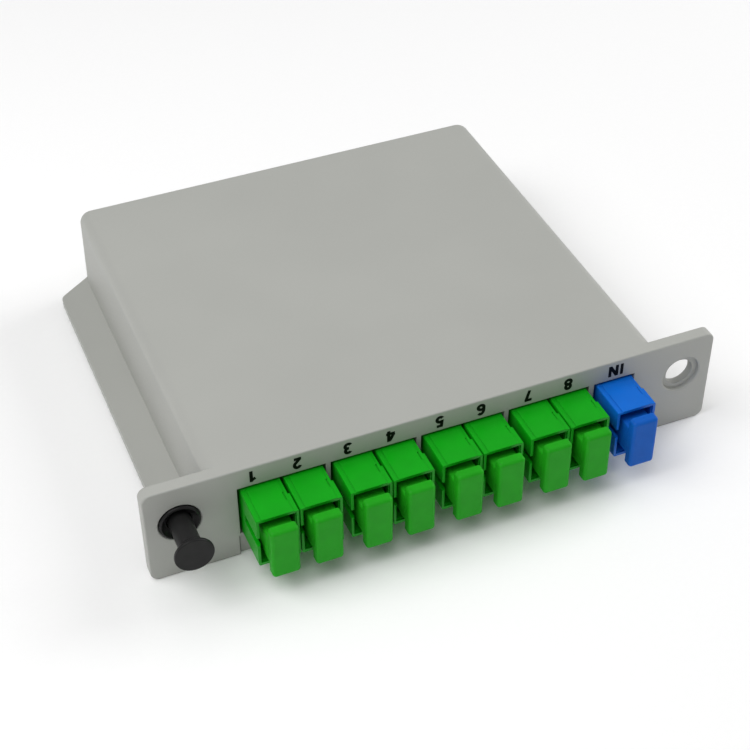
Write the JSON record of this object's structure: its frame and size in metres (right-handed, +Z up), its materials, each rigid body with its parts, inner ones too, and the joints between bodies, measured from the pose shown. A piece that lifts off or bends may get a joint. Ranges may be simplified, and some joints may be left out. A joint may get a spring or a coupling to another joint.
{
  "type": "fibre splitter cassette",
  "caption": "Plug-in light grey plastic cassette for splitting optical fibre, with green output ports, a blue input port, dust caps and a push-pull latch.",
  "frame": {"origin": "middle of the panel's rear face, on the plane that the cassette rests on", "axes": "+X along the panel to the input port, +Y back into the chassis, +Z up"},
  "size_m": [0.13, 0.1142, 0.024],
  "materials": {
    "shell_grey": "injection-moulded ABS with fine spark-eroded texture",
    "screw_steel": "zinc plated",
    "latch_black": "moulded nylon",
    "module_steel": "drawn stainless tube",
    "fibre_white": "buffered fibre",
    "adapter_green": "moulded, satin",
    "adapter_blue": "moulded, satin",
    "clip_steel": "pressed stainless strip",
    "sleeve_ceramic": "ground zirconia",
    "connector_green": "moulded, satin",
    "connector_blue": "moulded, satin",
    "cap_green": "moulded, soft satin",
    "cap_blue": "moulded, soft satin"
  },
  "bodies": {
    "cassette": {"base_shell": "shell_grey", "cover_plate": "shell_grey", "cover_screws": "screw_steel", "latch_grommet": "latch_black", "splitter_module": "module_steel", "fibre_coil": "fibre_white", "adapter_1": "adapter_green", "adapter_clip_1": "clip_steel", "split_sleeve_1": "sleeve_ceramic", "inner_connector_1": "connector_green", "adapter_2": "adapter_green", "adapter_clip_2": "clip_steel", "split_sleeve_2": "sleeve_ceramic", "inner_connector_2": "connector_green", "adapter_3": "adapter_green", "adapter_clip_3": "clip_steel", "split_sleeve_3": "sleeve_ceramic", "inner_connector_3": "connector_green", "adapter_4": "adapter_green", "adapter_clip_4": "clip_steel", "split_sleeve_4": "sleeve_ceramic", "inner_connector_4": "connector_green", "adapter_5": "adapter_green", "adapter_clip_5": "clip_steel", "split_sleeve_5": "sleeve_ceramic", "inner_connector_5": "connector_green", "adapter_6": "adapter_green", "adapter_clip_6": "clip_steel", "split_sleeve_6": "sleeve_ceramic", "inner_connector_6": "connector_green", "adapter_7": "adapter_green", "adapter_clip_7": "clip_steel", "split_sleeve_7": "sleeve_ceramic", "inner_connector_7": "connector_green", "adapter_8": "adapter_green", "adapter_clip_8": "clip_steel", "split_sleeve_8": "sleeve_ceramic", "inner_connector_8": "connector_green", "adapter_input": "adapter_blue", "adapter_clip_input": "clip_steel", "split_sleeve_input": "sleeve_ceramic", "inner_connector_input": "connector_blue"},
    "latch_pin": {"latch_plunger": "latch_black"},
    "cap_1": {"dust_cap_1": "cap_green"},
    "cap_2": {"dust_cap_2": "cap_green"},
    "cap_3": {"dust_cap_3": "cap_green"},
    "cap_4": {"dust_cap_4": "cap_green"},
    "cap_5": {"dust_cap_5": "cap_green"},
    "cap_6": {"dust_cap_6": "cap_green"},
    "cap_7": {"dust_cap_7": "cap_green"},
    "cap_8": {"dust_cap_8": "cap_green"},
    "cap_input": {"dust_cap_input": "cap_blue"}
  },
  "joints": [
    {"name": "latch_push", "type": "slide", "parent": "cassette", "child": "latch_pin", "axis": [0, 1, 0], "range_m": [0, 0.0055]},
    {"name": "cap_1_pull", "type": "slide", "parent": "cassette", "child": "cap_1", "axis": [0, -1, 0], "range_m": [0, 0.016]},
    {"name": "cap_2_pull", "type": "slide", "parent": "cassette", "child": "cap_2", "axis": [0, -1, 0], "range_m": [0, 0.016]},
    {"name": "cap_3_pull", "type": "slide", "parent": "cassette", "child": "cap_3", "axis": [0, -1, 0], "range_m": [0, 0.016]},
    {"name": "cap_4_pull", "type": "slide", "parent": "cassette", "child": "cap_4", "axis": [0, -1, 0], "range_m": [0, 0.016]},
    {"name": "cap_5_pull", "type": "slide", "parent": "cassette", "child": "cap_5", "axis": [0, -1, 0], "range_m": [0, 0.016]},
    {"name": "cap_6_pull", "type": "slide", "parent": "cassette", "child": "cap_6", "axis": [0, -1, 0], "range_m": [0, 0.016]},
    {"name": "cap_7_pull", "type": "slide", "parent": "cassette", "child": "cap_7", "axis": [0, -1, 0], "range_m": [0, 0.016]},
    {"name": "cap_8_pull", "type": "slide", "parent": "cassette", "child": "cap_8", "axis": [0, -1, 0], "range_m": [0, 0.016]},
    {"name": "cap_input_pull", "type": "slide", "parent": "cassette", "child": "cap_input", "axis": [0, -1, 0], "range_m": [0, 0.016]}
  ]
}
